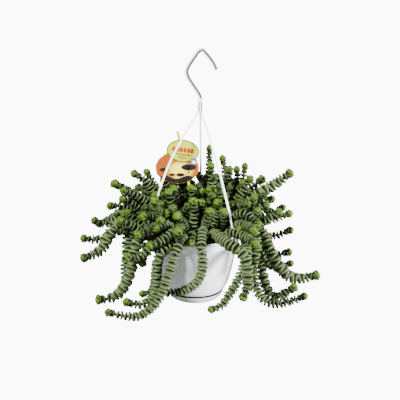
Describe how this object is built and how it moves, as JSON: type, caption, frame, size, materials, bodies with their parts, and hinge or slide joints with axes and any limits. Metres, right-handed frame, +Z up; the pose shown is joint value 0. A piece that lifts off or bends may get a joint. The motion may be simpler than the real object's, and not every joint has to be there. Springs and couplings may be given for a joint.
{
  "type": "potted crassula in a hanging pot",
  "caption": "Trailing succulent with stacked leaf pairs in a round plastic hanging pot, with a clip-on saucer, a moulded three-arm hanger ending in a hook, and a stick-in label.",
  "frame": {"origin": "the seat inside the hook's crown, where the part hangs", "axes": "+Z up, +Y to the back, +X to the right as seen in the picture; the pot's axis is upright, 9 mm to the left of the origin"},
  "size_m": [0.3613, 0.3252, 0.4062],
  "materials": {
    "pot_plastic": "white injection-moulded plastic, satin",
    "saucer_plastic": "pale grey-white plastic, glossy",
    "peat": "dark brown crumbly potting soil",
    "hanger_plastic": "white moulded plastic, satin",
    "label_card": "printed plastic card, yellow-green and orange",
    "leaf": "fleshy grey-green leaves, lime green at the tips"
  },
  "bodies": {
    "root": {"pot": "pot_plastic", "saucer": "saucer_plastic", "soil": "peat", "hook": "hanger_plastic", "hanger": "hanger_plastic", "label": "label_card", "stem_01": "leaf", "stem_02": "leaf", "stem_03": "leaf", "stem_04": "leaf", "stem_05": "leaf", "stem_06": "leaf", "stem_07": "leaf", "stem_08": "leaf", "stem_09": "leaf", "stem_10": "leaf", "stem_11": "leaf", "stem_12": "leaf", "stem_13": "leaf", "stem_14": "leaf", "stem_15": "leaf", "stem_16": "leaf", "stem_17": "leaf", "stem_18": "leaf", "stem_19": "leaf", "stem_20": "leaf", "stem_21": "leaf", "stem_22": "leaf", "stem_23": "leaf", "stem_24": "leaf", "stem_25": "leaf", "stem_26": "leaf", "stem_27": "leaf", "stem_28": "leaf", "stem_29": "leaf", "stem_30": "leaf", "stem_31": "leaf", "stem_32": "leaf", "stem_33": "leaf", "stem_34": "leaf", "stem_35": "leaf", "stem_36": "leaf", "stem_37": "leaf", "stem_38": "leaf", "stem_39": "leaf", "stem_40": "leaf", "stem_41": "leaf", "stem_42": "leaf", "stem_43": "leaf", "stem_44": "leaf", "stem_45": "leaf", "stem_46": "leaf", "stem_47": "leaf", "stem_48": "leaf", "stem_49": "leaf", "stem_50": "leaf", "stem_51": "leaf", "stem_52": "leaf", "stem_53": "leaf", "stem_54": "leaf"}
  },
  "joints": []
}
